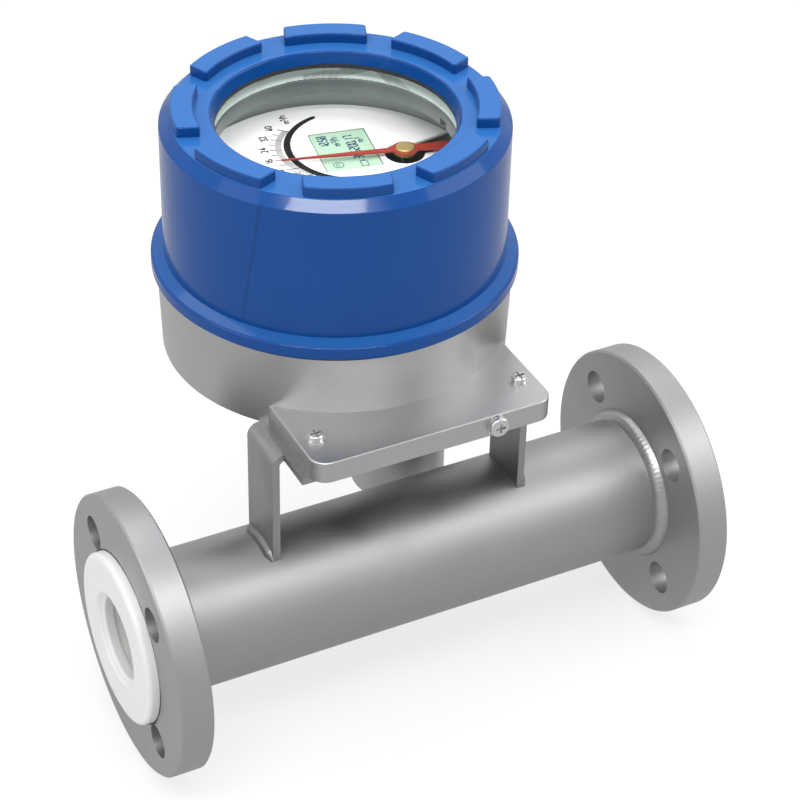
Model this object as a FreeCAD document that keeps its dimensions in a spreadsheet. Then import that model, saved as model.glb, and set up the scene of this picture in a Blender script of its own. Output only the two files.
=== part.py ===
import FreeCAD, Part
import math
import os
import Sketcher

# Metal tube rotameter. The origin is the centre of the outlet flange's metal face, X runs
# along the pipe to the inlet flange and Z is up through the window. All sizes are in
# millimetres, and stations along the pipe count from the outlet sealing face, on the
# lining's lip, which stands lip_proud before the flange.

os.makedirs("parts", exist_ok=True)
doc = FreeCAD.newDocument("rotameter")
sheet = doc.addObject("Spreadsheet::Sheet", "Dimensions")
V = FreeCAD.Vector
row = [0]


class Size:
    """A length that carries both its value and the expression that drives it."""

    def __init__(self, text, value):
        self.text = text
        self.value = float(value)

    def _join(self, sign, other, value):
        text = other.text if isinstance(other, Size) else repr(float(other))
        return Size("(" + self.text + " " + sign + " " + text + ")", value)

    def __add__(self, other):
        return self._join("+", other, self.value + num(other))

    def __sub__(self, other):
        return self._join("-", other, self.value - num(other))

    def __mul__(self, other):
        return self._join("*", other, self.value * num(other))

    def __truediv__(self, other):
        return self._join("/", other, self.value / num(other))

    def __neg__(self):
        return Size("(0 - " + self.text + ")", -self.value)


def num(item):
    return item.value if isinstance(item, Size) else float(item)


def size(name, value):
    """Write one driving dimension to the sheet and hand it back as a Size."""
    row[0] += 1
    sheet.set("A%d" % row[0], name)
    sheet.set("B%d" % row[0], repr(float(value)))
    sheet.setAlias("B%d" % row[0], name)
    return Size("Dimensions." + name, value)


def turned(length, degrees, part):
    """The cos or sin share of a length at an angle."""
    angle = num(degrees)
    text = degrees.text if isinstance(degrees, Size) else repr(float(degrees))
    share = math.cos(math.radians(angle)) if part == "cos" else math.sin(math.radians(angle))
    return Size("(" + length.text + " * " + part + "(" + text + "))", length.value * share)


# Pipe section
face_to_face = size("face_to_face", 250.0)
flange_od = size("flange_od", 115.0)
flange_thick = size("flange_thick", 13.2)
flange_chamfer = size("flange_chamfer", 0.8)
bolt_circle = size("bolt_circle", 85.0)
bolt_hole = size("bolt_hole", 14.0)
bolt_count = 4
tube_od = size("tube_od", 57.0)
tube_wall = size("tube_wall", 3.0)
weld_leg = size("weld_leg", 4.0)

# Lining
lip_proud = size("lip_proud", 4.5)
lip_od = size("lip_od", 70.0)
lip_round = size("lip_round", 1.9)
port_bore = size("port_bore", 34.0)
port_entry = size("port_entry", 39.0)
port_entry_depth = size("port_entry_depth", 2.6)
chamber_bore = size("chamber_bore", 33.2)
throat_bore = size("throat_bore", 31.2)
cone_start = size("cone_start", 126.0)
cone_end = size("cone_end", 190.0)
ridge_first = size("ridge_first", 6.0)
ridge_pitch = size("ridge_pitch", 3.2)
ridge_width = size("ridge_width", 1.6)
ridge_depth = size("ridge_depth", 1.0)
ridge_count = 5

# Float guides
guide_thick = size("guide_thick", 6.0)
outlet_seat = size("outlet_seat", 56.0)
inlet_seat = size("inlet_seat", 198.0)
guide_rim = size("guide_rim", 1.8)
guide_hub = size("guide_hub", 11.0)
guide_arm = size("guide_arm", 2.2)
guide_clearance = size("guide_clearance", 0.05)

# Float
stem_dia = size("stem_dia", 6.0)
stem_start = size("stem_start", 36.0)
stem_end = size("stem_end", 230.0)
float_body_start = size("float_body_start", 145.0)
float_body_dia = size("float_body_dia", 26.0)
float_head_dia = size("float_head_dia", 30.0)
float_head_start = size("float_head_start", 172.0)
float_head_length = size("float_head_length", 13.0)
float_head_rise = size("float_head_rise", 5.0)
float_cavity_dia = size("float_cavity_dia", 21.0)
float_cap_length = size("float_cap_length", 5.0)
float_plug_length = size("float_plug_length", 3.0)
float_neck_start = size("float_neck_start", 82.0)
float_neck_dia = size("float_neck_dia", 10.0)

# Head position
head_x = size("head_x", 121.3)
head_y = size("head_y", 56.4)
pivot_dx = size("pivot_dx", 33.5)
pivot_dy = size("pivot_dy", 6.5)

# Bracket
bracket_shift = size("bracket_shift", -3.0)
bracket_span = size("bracket_span", 111.1)
bracket_thick = size("bracket_thick", 3.0)
bracket_width = size("bracket_width", 23.5)
bracket_web_front = size("bracket_web_front", 28.0)
bracket_bend = size("bracket_bend", 2.0)
bracket_weld = size("bracket_weld", 2.6)

# Housing base
base_bottom = size("base_bottom", 77.0)
base_floor = size("base_floor", 8.0)
base_top = size("base_top", 112.4)
base_round = size("base_round", 1.0)
neck_dia = size("neck_dia", 128.0)
neck_top = size("neck_top", 130.0)
neck_wall = size("neck_wall", 4.0)
neck_shelf = size("neck_shelf", 6.7)
base_draft = size("base_draft", 1.2)
base_od = neck_dia + neck_shelf * 2
chamber_dia = neck_dia - neck_wall * 2
lug_width = size("lug_width", 101.5)
lug_reach = size("lug_reach", 90.8)
lug_thick = size("lug_thick", 9.0)
lug_corner = size("lug_corner", 6.8)
boss_od = size("boss_od", 40.4)
boss_bore = size("boss_bore", 32.4)
boss_bottom = size("boss_bottom", -14.0)
boss_floor = size("boss_floor", 4.0)
entry_dia = size("entry_dia", 20.0)
entry_z = size("entry_z", 98.0)
entry_pad_dia = size("entry_pad_dia", 28.0)
entry_pad_proud = size("entry_pad_proud", 2.3)
entry_face = base_od / 2 + entry_pad_proud

# Fasteners of the lug
lug_screw_inset = size("lug_screw_inset", 7.1)
lug_screw_half = lug_width / 2 - lug_screw_inset
lug_screw_reach = size("lug_screw_reach", 74.7)
lug_screw_dia = size("lug_screw_dia", 3.0)
lug_screw_hole = size("lug_screw_hole", 3.4)
lug_head_dia = size("lug_head_dia", 6.2)
lug_head_height = size("lug_head_height", 2.1)
lug_washer_dia = size("lug_washer_dia", 7.4)
lug_washer_thick = size("lug_washer_thick", 0.6)
lug_nut_flats = size("lug_nut_flats", 5.5)
lug_nut_height = size("lug_nut_height", 2.4)
earth_screw_dx = size("earth_screw_dx", 25.6)
earth_screw_dia = size("earth_screw_dia", 4.0)
earth_screw_depth = size("earth_screw_depth", 12.0)
earth_head_dia = size("earth_head_dia", 8.4)
earth_head_height = size("earth_head_height", 2.2)
earth_washer_dia = size("earth_washer_dia", 9.0)
earth_washer_thick = size("earth_washer_thick", 0.8)
drive_width = size("drive_width", 1.0)
drive_depth = size("drive_depth", 1.3)

# Cover
seat_gap = size("seat_gap", 0.4)
thread_clearance = size("thread_clearance", 0.06)
thread_relief_top = size("thread_relief_top", 134.0)
thread_step = size("thread_step", 3.5)
cover_wall = size("cover_wall", 3.74)
cover_top = size("cover_top", 177.6)
cover_shoulder = size("cover_shoulder", 4.0)
rim_flare = size("rim_flare", 5.0)
rim_edge = size("rim_edge", 4.6)
rim_height = size("rim_height", 6.6)
cover_bore = neck_dia - thread_step * 2
cover_od = neck_dia + (thread_clearance + cover_wall) * 2
rim_od = cover_od + rim_flare * 2
glass_step = size("glass_step", 4.5)
glass_overlap = size("glass_overlap", 8.3)
glass_thick = size("glass_thick", 5.0)
glass_dia = cover_bore - glass_step * 2
window_dia = glass_dia - glass_overlap * 2
window_ledge = size("window_ledge", 5.1)
window_taper = size("window_taper", 1.55)
window_throat = window_dia - window_taper * 2
gasket_thick = size("gasket_thick", 2.0)
gasket_inset = size("gasket_inset", 0.35)
gasket_inner = window_throat + gasket_inset * 2
ring_thick = size("ring_thick", 7.2)
ring_width = size("ring_width", 9.2)
ring_edge = size("ring_edge", 1.0)
ring_notch = size("ring_notch", 5.0)
ring_inner = glass_dia - ring_width * 2
cover_lug_count = 8
cover_lug_width = size("cover_lug_width", 33.0)
cover_lug_land = size("cover_lug_land", 6.6)
cover_lug_setback = size("cover_lug_setback", 4.5)
cover_lug_height = size("cover_lug_height", 4.2)
cover_lug_phase = size("cover_lug_phase", 23.8)
cover_lug_inner = window_dia + cover_lug_land * 2
cover_lug_outer = cover_od - cover_lug_setback * 2
seal_offset = size("seal_offset", 3.5)
seal_ring_dia = neck_dia + seal_offset * 2
seal_section = size("seal_section", 2.6)
seal_lift = size("seal_lift", 0.02)

# Cable gland
gland_flats = size("gland_flats", 24.0)
gland_hex_length = size("gland_hex_length", 6.0)
gland_shank_proud = size("gland_shank_proud", 1.5)
gland_shank_start = chamber_dia / 2 - gland_shank_proud
gland_barrel_dia = size("gland_barrel_dia", 19.0)
gland_barrel_length = size("gland_barrel_length", 10.0)
gland_inner_dia = size("gland_inner_dia", 14.0)
gland_nut_gap = size("gland_nut_gap", 1.0)
gland_nut_length = size("gland_nut_length", 14.0)
gland_mouth_dia = size("gland_mouth_dia", 12.0)
gland_seal_inner = size("gland_seal_inner", 8.0)

# Movement
post_dia = size("post_dia", 6.0)
deck_bottom = size("deck_bottom", 120.0)
deck_thick = size("deck_thick", 2.0)
deck_gap = size("deck_gap", 7.0)
deck_dia = chamber_dia - deck_gap * 2
post_inset = size("post_inset", 5.0)
post_radius = deck_dia / 2 - post_inset
post_angle = size("post_angle", 200.0)
board_bottom = size("board_bottom", 136.0)
board_thick = size("board_thick", 1.6)
board_left = size("board_left", 40.0)
board_right = size("board_right", 23.0)
board_front = size("board_front", 34.0)
board_back = size("board_back", 38.0)
board_post_dia = size("board_post_dia", 5.0)
dial_top = size("dial_top", 147.0)
dial_thick = size("dial_thick", 1.0)
dial_gap = size("dial_gap", 2.0)
dial_dia = cover_bore - dial_gap * 2
dial_angle = size("dial_angle", -10.0)
key_hole_dia = size("key_hole_dia", 16.0)
key_slot_width = size("key_slot_width", 9.0)
key_slot_angle = size("key_slot_angle", 8.0)
display_x = size("display_x", 13.3)
display_y = size("display_y", 18.7)
display_width = size("display_width", 23.4)
display_height = size("display_height", 29.6)
display_frame = size("display_frame", 2.4)
display_gap = size("display_gap", 0.15)
display_sink = size("display_sink", 0.2)
board_post_front = size("board_post_front", 28.0)
board_post_back = size("board_post_back", 31.0)
board_post_left = size("board_post_left", 34.0)
board_post_right = size("board_post_right", 17.0)
block_length = size("block_length", 28.0)
block_depth = size("block_depth", 12.0)
block_height = size("block_height", 11.0)
block_x = size("block_x", -20.0)
block_y = size("block_y", 37.0)

# Pointer train
arbor_dia = size("arbor_dia", 3.0)
bearing_clearance = size("bearing_clearance", 0.05)
lower_bearing_dia = size("lower_bearing_dia", 8.0)
lower_bearing_height = size("lower_bearing_height", 7.0)
lower_bearing_seat = size("lower_bearing_seat", 2.0)
lower_bearing_base = size("lower_bearing_base", 1.0)
upper_bearing_dia = size("upper_bearing_dia", 8.0)
upper_bearing_flange = size("upper_bearing_flange", 12.0)
upper_bearing_flange_thick = size("upper_bearing_flange_thick", 1.5)
magnet_dia = size("magnet_dia", 24.0)
magnet_height = size("magnet_height", 8.0)
carrier_disc_thick = size("carrier_disc_thick", 2.0)
carrier_hub_dia = size("carrier_hub_dia", 8.0)
carrier_hub_height = size("carrier_hub_height", 7.0)
pointer_bottom = size("pointer_bottom", 148.7)
pointer_thick = size("pointer_thick", 0.6)
pointer_reach = size("pointer_reach", 49.5)
pointer_angle = size("pointer_angle", 165.5)
pointer_tip_width = size("pointer_tip_width", 0.5)
pointer_root_width = size("pointer_root_width", 3.4)
pointer_disc_dia = size("pointer_disc_dia", 10.4)
tail_gap = size("tail_gap", 1.0)
pointer_tail = dial_dia / 2 - pivot_dx - tail_gap
pointer_tail_width = size("pointer_tail_width", 7.0)
hub_dia = size("hub_dia", 7.6)
hub_flange_dia = size("hub_flange_dia", 8.8)
hub_cap = size("hub_cap", 0.5)
hub_bottom = size("hub_bottom", 147.4)
hub_top = size("hub_top", 150.3)

doc.recompute()

made = []
zero = Size("0", 0.0)


def bind(target, path, item):
    """Drive one property by a Size, or set it plainly when it is a number."""
    if isinstance(item, Size):
        target.setExpression(path, item.text)


def new_body(label, x=None, y=None, z=None, turn=None):
    """A body with its own label, placed by the sheet, x being a station along the pipe."""
    body = doc.addObject("PartDesign::Body", label)
    body.Label = label
    x = (x or zero) - lip_proud
    base = V(num(x), num(y or zero), num(z or zero))
    angle = num(turn or zero)
    body.Placement = FreeCAD.Placement(base, FreeCAD.Rotation(V(0, 0, 1), angle))
    for axis, item in (("x", x), ("y", y), ("z", z)):
        if item is not None:
            bind(body, "Placement.Base." + axis, item)
    if hasattr(body, "AllowCompound"):
        body.AllowCompound = True
    made.append(body)
    return body


def new_sketch(body, name, role="XY_Plane", offset=None, turn=None):
    """A sketch on one of the body's own origin planes."""
    sk = body.newObject("Sketcher::SketchObject", body.Name + "_" + name)
    plane = [f for f in body.Origin.OriginFeatures if f.Role == role][0]
    sk.AttachmentSupport = (plane, [""])
    sk.MapMode = "FlatFace"
    if turn is not None:
        sk.AttachmentOffset = FreeCAD.Placement(V(0, 0, 0), FreeCAD.Rotation(V(0, 0, 1), num(turn)))
        bind(sk, "AttachmentOffset.Rotation.Angle", turn)
    if offset is not None:
        turned_by = sk.AttachmentOffset.Rotation
        sk.AttachmentOffset = FreeCAD.Placement(V(0, 0, num(offset)), turned_by)
        bind(sk, "AttachmentOffset.Base.z", offset)
    return sk


def pin_point(sk, geo, pos, x, y):
    """Hold one point at a pair of driven coordinates from the sketch origin."""
    for kind, item, axis in (("DistanceX", x, -2), ("DistanceY", y, -1)):
        if abs(num(item)) < 1e-9:
            sk.addConstraint(Sketcher.Constraint("PointOnObject", geo, pos, axis))
            continue
        index = sk.addConstraint(Sketcher.Constraint(kind, -1, 1, geo, pos, num(item)))
        if isinstance(item, Size):
            sk.setExpression("Constraints[%d]" % index, item.text)


def outline(sk, points):
    """A closed outline of straight lines through driven points."""
    first = sk.GeometryCount
    count = len(points)
    for i in range(count):
        a, b = points[i], points[(i + 1) % count]
        sk.addGeometry(Part.LineSegment(V(num(a[0]), num(a[1]), 0), V(num(b[0]), num(b[1]), 0)))
    for i in range(count):
        sk.addConstraint(Sketcher.Constraint("Coincident", first + i, 2, first + (i + 1) % count, 1))
    for i in range(count):
        pin_point(sk, first + i, 1, points[i][0], points[i][1])


def circle(sk, dia, x=zero, y=zero):
    """A circle of driven diameter at a driven centre."""
    geo = sk.addGeometry(Part.Circle(V(num(x), num(y), 0), V(0, 0, 1), num(dia) / 2))
    pin_point(sk, geo, 3, x, y)
    index = sk.addConstraint(Sketcher.Constraint("Diameter", geo, num(dia)))
    if isinstance(dia, Size):
        sk.setExpression("Constraints[%d]" % index, dia.text)
    return geo


def rectangle(sk, x0, y0, x1, y1):
    outline(sk, [(x0, y0), (x1, y0), (x1, y1), (x0, y1)])


def hexagon(sk, flats, x=zero):
    """A regular hexagon measured across its flats."""
    half = flats / 2
    side = flats * (math.tan(math.radians(30)) / 2)
    tip = flats / (2 * math.cos(math.radians(30)))
    outline(sk, [(x + half, -side), (x + half, side), (x, tip), (x - half, side), (x - half, -side), (x, -tip)])


def pad(body, sk, length, reverse=False, middle=False):
    feature = body.newObject("PartDesign::Pad", sk.Name + "_pad")
    feature.Profile = sk
    feature.Length = num(length)
    bind(feature, "Length", length)
    feature.Reversed = reverse
    if middle:
        feature.Midplane = True
    doc.recompute()
    return feature


def cut(body, sk, length=None, reverse=False, middle=False):
    """A pocket, through everything when no length is given; its side is checked by volume."""
    before = body.Shape.Volume
    feature = body.newObject("PartDesign::Pocket", sk.Name + "_cut")
    feature.Profile = sk
    if length is None:
        feature.Type = "ThroughAll"
    else:
        feature.Length = num(length)
        bind(feature, "Length", length)
    feature.Reversed = reverse
    if middle:
        feature.Midplane = True
    doc.recompute()
    if before - body.Shape.Volume < 1e-3:
        feature.Reversed = not reverse
        doc.recompute()
    return feature


def spin(body, sk, axis, angle=360.0, middle=False):
    feature = body.newObject("PartDesign::Revolution", sk.Name + "_turn")
    feature.Profile = sk
    feature.ReferenceAxis = (sk, [axis])
    feature.Angle = angle
    feature.Midplane = middle
    doc.recompute()
    return feature


def groove(body, sk, axis):
    feature = body.newObject("PartDesign::Groove", sk.Name + "_groove")
    feature.Profile = sk
    feature.ReferenceAxis = (sk, [axis])
    feature.Angle = 360.0
    doc.recompute()
    return feature


def around(body, features, axis_role, count):
    """Repeat features round one of the body's own axes."""
    pattern = body.newObject("PartDesign::PolarPattern", features[0].Name + "_ring")
    pattern.Originals = features
    line = [f for f in body.Origin.OriginFeatures if f.Role == axis_role][0]
    pattern.Axis = (line, [""])
    pattern.Angle = 360.0
    pattern.Occurrences = count
    body.Tip = pattern
    doc.recompute()
    return pattern


def along(body, features, axis_role, length, count, reverse=False):
    """Repeat features along one of the body's own axes."""
    pattern = body.newObject("PartDesign::LinearPattern", features[0].Name + "_row")
    pattern.Originals = features
    line = [f for f in body.Origin.OriginFeatures if f.Role == axis_role][0]
    pattern.Direction = (line, [""])
    pattern.Reversed = reverse
    pattern.Length = num(length)
    bind(pattern, "Length", length)
    pattern.Occurrences = count
    body.Tip = pattern
    doc.recompute()
    return pattern


def edges(tip, test):
    """Names of a feature's edges whose midpoint and length pass a test, in body coordinates."""
    names = []
    for i, edge in enumerate(tip.Shape.Edges):
        point = edge.valueAt((edge.FirstParameter + edge.LastParameter) / 2)
        if test(point, edge):
            names.append("Edge%d" % (i + 1))
    return names


def soften(body, test, radius, name):
    """Round every edge of the body so far that passes the test."""
    tip = body.Tip
    feature = body.newObject("PartDesign::Fillet", body.Name + "_" + name)
    feature.Base = (tip, edges(tip, test))
    feature.Radius = num(radius)
    bind(feature, "Radius", radius)
    doc.recompute()
    return feature


def near(value, target, tol=0.02):
    return abs(value - num(target)) < tol


def ring_body(label, inner, outer, start, length, x=None, y=None):
    """A plain ring standing on end along Z."""
    body = new_body(label, x, y)
    sk = new_sketch(body, "section", offset=start)
    circle(sk, outer)
    if inner is not None:
        circle(sk, inner)
    pad(body, sk, length)
    return body


def cross_slot(body, face_z, role="XY_Plane", centres=(zero,)):
    """The cross recess of a screw head, once at each centre."""
    half = drive_width / 2
    reach = drive_width * 2.1
    sk = new_sketch(body, "recess", role, offset=face_z)
    arms = [(half, -reach), (half, -half), (reach, -half), (reach, half), (half, half), (half, reach),
            (-half, reach), (-half, half), (-reach, half), (-reach, -half), (-half, -half), (-half, -reach)]
    for x in centres:
        outline(sk, [(x + a, b) for a, b in arms])
    return cut(body, sk, drive_depth)


def sector(sk, inner, outer, width):
    """A block between two arcs about the origin, with parallel sides."""
    rise = num(width) / 2
    radii = (num(outer) / 2, num(inner) / 2)
    reach = [math.sqrt(r * r - rise * rise) for r in radii]
    angle = [math.asin(rise / r) for r in radii]
    up = V(0, 0, 1)
    sk.addGeometry(Part.LineSegment(V(reach[1], -rise, 0), V(reach[0], -rise, 0)))
    sk.addGeometry(Part.ArcOfCircle(Part.Circle(V(0, 0, 0), up, radii[0]), -angle[0], angle[0]))
    sk.addGeometry(Part.LineSegment(V(reach[0], rise, 0), V(reach[1], rise, 0)))
    sk.addGeometry(Part.ArcOfCircle(Part.Circle(V(0, 0, 0), up, radii[1]), -angle[1], angle[1]))
    for a, b, c, d in ((0, 2, 1, 1), (1, 2, 2, 1), (2, 2, 3, 2), (3, 1, 0, 1)):
        sk.addConstraint(Sketcher.Constraint("Coincident", a, b, c, d))
    for geo, dia in ((1, outer), (3, inner)):
        sk.addConstraint(Sketcher.Constraint("Coincident", geo, 3, -1, 1))
        index = sk.addConstraint(Sketcher.Constraint("Radius", geo, num(dia) / 2))
        sk.setExpression("Constraints[%d]" % index, (dia / 2).text)
    for geo, item in ((0, -(width / 2)), (2, width / 2)):
        sk.addConstraint(Sketcher.Constraint("Horizontal", geo))
        index = sk.addConstraint(Sketcher.Constraint("DistanceY", -1, 1, geo, 1, num(item)))
        sk.setExpression("Constraints[%d]" % index, item.text)


# Measuring tube
tube = new_body("measuring_tube")
sk = new_sketch(tube, "wall")
rectangle(sk, lip_proud, tube_od / 2 - tube_wall, face_to_face - lip_proud, tube_od / 2)
spin(tube, sk, "H_Axis")


# Flanges
def flange(label, start):
    body = new_body(label)
    sk = new_sketch(body, "disc")
    end = start + flange_thick
    rim = flange_od / 2
    outline(sk, [(start, tube_od / 2), (start, rim - flange_chamfer), (start + flange_chamfer, rim),
                 (end - flange_chamfer, rim), (end, rim - flange_chamfer), (end, tube_od / 2)])
    spin(body, sk, "H_Axis")
    hole = new_sketch(body, "bolt_hole", "YZ_Plane")
    circle(hole, bolt_hole, turned(bolt_circle / 2, 45, "cos"), turned(bolt_circle / 2, 45, "sin"))
    drilled = cut(body, hole, face_to_face)
    around(body, [drilled], "X_Axis", bolt_count)


inlet_start = face_to_face - lip_proud - flange_thick
flange("outlet_flange", lip_proud)
flange("inlet_flange", inlet_start)


# Weld fillets between flanges and tube
def flange_bead(label, corner, out):
    body = new_body(label)
    sk = new_sketch(body, "bead")
    toe = corner + weld_leg if out > 0 else corner - weld_leg
    outline(sk, [(corner, tube_od / 2), (toe, tube_od / 2), (corner, tube_od / 2 + weld_leg)])
    spin(body, sk, "H_Axis")


flange_bead("outlet_flange_weld", lip_proud + flange_thick, 1)
flange_bead("inlet_flange_weld", inlet_start, -1)

# Moulded lining with flared sealing lips, metering cone and ridged ports
lining = new_body("lining")
sk = new_sketch(lining, "section")
port = port_bore / 2
bore = chamber_bore / 2
throat = throat_bore / 2
lip = lip_od / 2
inside = tube_od / 2 - tube_wall
outline(sk, [
    (zero, port_entry / 2), (zero, lip), (lip_proud, lip), (lip_proud, inside),
    (face_to_face - lip_proud, inside), (face_to_face - lip_proud, lip), (face_to_face, lip),
    (face_to_face, port_entry / 2), (face_to_face - port_entry_depth, port), (inlet_seat, port),
    (inlet_seat, throat), (cone_end, throat), (cone_start, bore), (outlet_seat, bore),
    (outlet_seat, port), (port_entry_depth, port)])
spin(lining, sk, "H_Axis")


def port_ridges(label, start, reverse):
    sk = new_sketch(lining, label)
    far = start - ridge_width if reverse else start + ridge_width
    rectangle(sk, start, port - 0.5, far, port + ridge_depth)
    first = groove(lining, sk, "H_Axis")
    along(lining, [first], "X_Axis", ridge_pitch * (ridge_count - 1), ridge_count, reverse)


port_ridges("outlet_ridges", ridge_first, False)
port_ridges("inlet_ridges", face_to_face - ridge_first, True)
soften(lining, lambda p, e: near(math.hypot(p.y, p.z), lip) and e.Length > num(lip_od) and
       (near(p.x, 0) or near(p.x, face_to_face)), lip_round, "lip_rounding")


# Float guides: a rim, three arms and a bored hub
def guide(label, start):
    body = new_body(label)
    rim = new_sketch(body, "rim", "YZ_Plane", offset=start)
    circle(rim, port_bore)
    circle(rim, port_bore - guide_rim * 2)
    pad(body, rim, guide_thick)
    arm = new_sketch(body, "arm", "YZ_Plane", offset=start)
    rectangle(arm, -(guide_arm / 2), zero, guide_arm / 2, port_bore / 2 - guide_rim / 2)
    one_arm = pad(body, arm, guide_thick)
    around(body, [one_arm], "X_Axis", 3)
    hub = new_sketch(body, "hub", "YZ_Plane", offset=start)
    circle(hub, guide_hub)
    pad(body, hub, guide_thick)
    hole = new_sketch(body, "bore", "YZ_Plane", offset=start)
    circle(hole, stem_dia + guide_clearance * 2)
    cut(body, hole, guide_thick, reverse=True)


guide("outlet_guide", outlet_seat - guide_thick)
guide("inlet_guide", inlet_seat)

# Float: body with a blind magnet cavity, ring magnet, closing cap and through stem
stem = stem_dia / 2
cavity = float_cavity_dia / 2
shell = float_body_dia / 2
crown = float_head_dia / 2
body = new_body("float_body")
sk = new_sketch(body, "section")
head_end = float_head_start + float_head_length
outline(sk, [
    (float_body_start, cavity), (float_body_start, shell), (float_head_start, shell),
    (float_head_start + float_head_rise, crown), (head_end - 2, crown), (head_end, crown - 2),
    (head_end, stem), (float_head_start, stem), (float_head_start, cavity)])
spin(body, sk, "H_Axis")

body = new_body("float_magnet")
sk = new_sketch(body, "section")
rectangle(sk, float_body_start + float_plug_length, stem, float_head_start, cavity)
spin(body, sk, "H_Axis")

body = new_body("float_cap")
sk = new_sketch(body, "section")
cap_start = float_body_start - float_cap_length
outline(sk, [
    (float_neck_start, stem), (float_neck_start, float_neck_dia / 2), (cap_start, float_neck_dia / 2),
    (cap_start, shell), (float_body_start, shell), (float_body_start, cavity),
    (float_body_start + float_plug_length, cavity), (float_body_start + float_plug_length, stem)])
spin(body, sk, "H_Axis")

body = new_body("float_stem")
sk = new_sketch(body, "section")
outline(sk, [(stem_start, zero), (stem_start, stem - 1), (stem_start + 1, stem), (stem_end - 1, stem),
             (stem_end, stem - 1), (stem_end, zero)])
spin(body, sk, "H_Axis")

# Bracket bent from sheet, its legs cut to sit on the tube
bracket_x = head_x + bracket_shift
bracket = new_body("bracket", x=bracket_x)
half = bracket_span / 2
t = bracket_thick
sk = new_sketch(bracket, "channel", "XZ_Plane")
outline(sk, [(-half, zero), (-half, base_bottom), (half, base_bottom), (half, zero), (half - t, zero),
             (half - t, base_bottom - t), (-half + t, base_bottom - t), (-half + t, zero)])
pad(bracket, sk, bracket_width, middle=True)
sk = new_sketch(bracket, "web", offset=base_bottom - t)
run = half - t - bracket_bend
rectangle(sk, -run, -bracket_web_front, run, zero)
pad(bracket, sk, t)
soften(bracket, lambda p, e: near(abs(p.x), half) and near(p.z, base_bottom) and near(p.y, 0),
       bracket_bend + bracket_thick, "outer_bend")
soften(bracket, lambda p, e: near(abs(p.x), half - t) and near(p.z, base_bottom - t) and near(p.y, 0),
       bracket_bend, "inner_bend")
sk = new_sketch(bracket, "saddle", "YZ_Plane")
circle(sk, tube_od)
cut(bracket, sk, middle=True)
sk = new_sketch(bracket, "screw_holes")
for side in (lug_screw_half - bracket_shift, -lug_screw_half - bracket_shift):
    circle(sk, lug_screw_hole, side, head_y - lug_screw_reach)
cut(bracket, sk, reverse=True)


# Weld beads where the bracket legs meet the tube
def leg_bead(label, face, out):
    body = new_body(label)
    sk = new_sketch(body, "bead", "XZ_Plane")
    toe = face + bracket_weld if out > 0 else face - bracket_weld
    outline(sk, [(face, tube_od / 2), (toe, tube_od / 2), (face, tube_od / 2 + bracket_weld)])
    sweep = 2 * math.degrees(math.asin(num(bracket_width) / num(tube_od)))
    spin(body, sk, "H_Axis", sweep, middle=True)


leg_bead("bracket_weld_outlet", bracket_x - half, -1)
leg_bead("bracket_weld_inlet", bracket_x + half, 1)

# Housing base: cup, threaded neck, lug, magnet well and cable entry
base = new_body("housing_base", x=head_x, y=head_y)
sk = new_sketch(base, "cup", "XZ_Plane")
outline(sk, [(zero, base_bottom), (base_od / 2 - base_draft, base_bottom), (base_od / 2, base_top), (zero, base_top)])
spin(base, sk, "V_Axis")
sk = new_sketch(base, "lug", offset=base_bottom)
rectangle(sk, -(lug_width / 2), -lug_reach, lug_width / 2, zero)
pad(base, sk, lug_thick)
soften(base, lambda p, e: near(p.y, -lug_reach) and near(abs(p.x), lug_width / 2) and near(e.Length, lug_thick),
       lug_corner, "lug_corners")
soften(base, lambda p, e: near(p.z, base_bottom + lug_thick) and p.y < 0 and
       math.hypot(p.x, p.y) > num(base_od) / 2 + 1, base_round * 0.7, "lug_edge")
sk = new_sketch(base, "entry_pad", "XZ_Plane")
circle(sk, entry_pad_dia, zero, entry_z)
pad(base, sk, entry_face, reverse=True)
sk = new_sketch(base, "well", offset=boss_bottom)
circle(sk, boss_od, pivot_dx, pivot_dy)
pad(base, sk, base_bottom + 1 - boss_bottom)
sk = new_sketch(base, "neck", offset=base_top)
circle(sk, neck_dia)
pad(base, sk, neck_top - base_top)
sk = new_sketch(base, "chamber", offset=base_bottom + base_floor)
circle(sk, chamber_dia)
cut(base, sk, neck_top - base_bottom, reverse=True)
sk = new_sketch(base, "well_bore", offset=boss_bottom + boss_floor)
circle(sk, boss_bore, pivot_dx, pivot_dy)
cut(base, sk, base_bottom + base_floor - boss_bottom, reverse=True)
sk = new_sketch(base, "bearing_seat", offset=boss_bottom + boss_floor - lower_bearing_seat)
circle(sk, lower_bearing_dia, pivot_dx, pivot_dy)
cut(base, sk, lower_bearing_seat * 2, reverse=True)
sk = new_sketch(base, "cable_entry", "XZ_Plane")
circle(sk, entry_dia, zero, entry_z)
cut(base, sk, entry_face * 2)
sk = new_sketch(base, "lug_holes", offset=base_bottom)
for side in (lug_screw_half, -lug_screw_half):
    circle(sk, lug_screw_hole, side, -lug_screw_reach)
cut(base, sk, lug_thick * 2, reverse=True)
sk = new_sketch(base, "earth_hole", "XZ_Plane", offset=lug_reach)
circle(sk, earth_screw_dia, earth_screw_dx, base_bottom + lug_thick / 2)
cut(base, sk, earth_screw_depth)
soften(base, lambda p, e: near(math.hypot(p.x - num(pivot_dx), p.y - num(pivot_dy)), boss_od / 2, 0.05) and
       near(p.z, boss_bottom), base_round * 1.5, "well_edge")


# Screws, washers and nuts of the lug, each kind one node
def at_lug(label):
    return new_body(label, x=head_x, y=head_y - lug_screw_reach)


seat = base_bottom + lug_thick
body = at_lug("lug_washers")
sk = new_sketch(body, "ring", offset=seat)
for side in (lug_screw_half, -lug_screw_half):
    circle(sk, lug_washer_dia, side)
    circle(sk, lug_screw_hole, side)
pad(body, sk, lug_washer_thick)

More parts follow.
